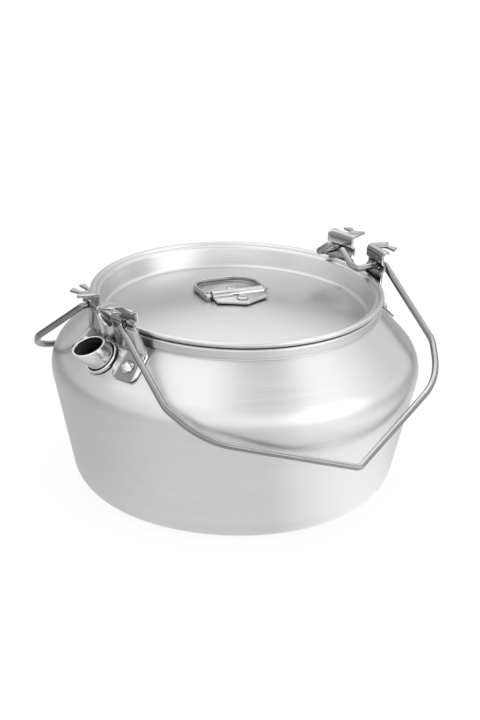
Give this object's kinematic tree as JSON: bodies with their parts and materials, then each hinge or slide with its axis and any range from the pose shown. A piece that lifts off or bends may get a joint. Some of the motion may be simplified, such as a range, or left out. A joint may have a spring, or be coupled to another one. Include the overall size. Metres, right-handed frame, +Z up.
{
  "type": "camping kettle",
  "caption": "Wide, low camping kettle with a stub spout, a drop-in lid with a folding ring, and wire bails that swing up from riveted, slotted brackets.",
  "frame": {"origin": "centre of the flat base", "axes": "+Z up, -X towards the spout, each bail hinges on a line parallel to X, +Y towards the back bail"},
  "size_m": [0.1639, 0.178, 0.1003],
  "materials": {
    "body_aluminium": "satin, spun",
    "lid_aluminium": "satin, spun",
    "sheet_steel": "polished",
    "wire_steel": "polished",
    "rivet_aluminium": "smooth"
  },
  "bodies": {
    "kettle": {"kettle_body": "body_aluminium", "spout_tube": "sheet_steel", "spout_collar": "sheet_steel", "spout_bracket": "sheet_steel", "far_bracket": "sheet_steel", "spout_bracket_rivet_front": "rivet_aluminium", "spout_bracket_rivet_back": "rivet_aluminium", "far_bracket_rivet_front": "rivet_aluminium", "far_bracket_rivet_back": "rivet_aluminium"},
    "lid_group": {"lid": "lid_aluminium", "lid_ring_clip": "sheet_steel", "lid_ring_rivet_front": "rivet_aluminium", "lid_ring_rivet_back": "rivet_aluminium"},
    "ring": {"lid_ring": "wire_steel"},
    "bail_front": {"front_bail": "wire_steel"},
    "bail_back": {"back_bail": "wire_steel"}
  },
  "joints": [
    {"name": "lid_turn", "type": "hinge", "parent": "kettle", "child": "lid_group", "pos_m": [0, 0, 0.0871], "axis": [0, 0, 1], "continuous": true},
    {"name": "ring_hinge", "type": "hinge", "parent": "lid_group", "child": "ring", "pos_m": [0, 0, 0.08809], "axis": [0.972, -0.2351, 0], "range_deg": [0, 184]},
    {"name": "front_bail_hinge", "type": "hinge", "parent": "kettle", "child": "bail_front", "pos_m": [0, -0.0135, 0.09249], "axis": [-1, 0, 0], "range_deg": [0, 126]},
    {"name": "back_bail_hinge", "type": "hinge", "parent": "kettle", "child": "bail_back", "pos_m": [0, 0.0135, 0.09249], "axis": [1, 0, 0], "range_deg": [0, 126]}
  ]
}
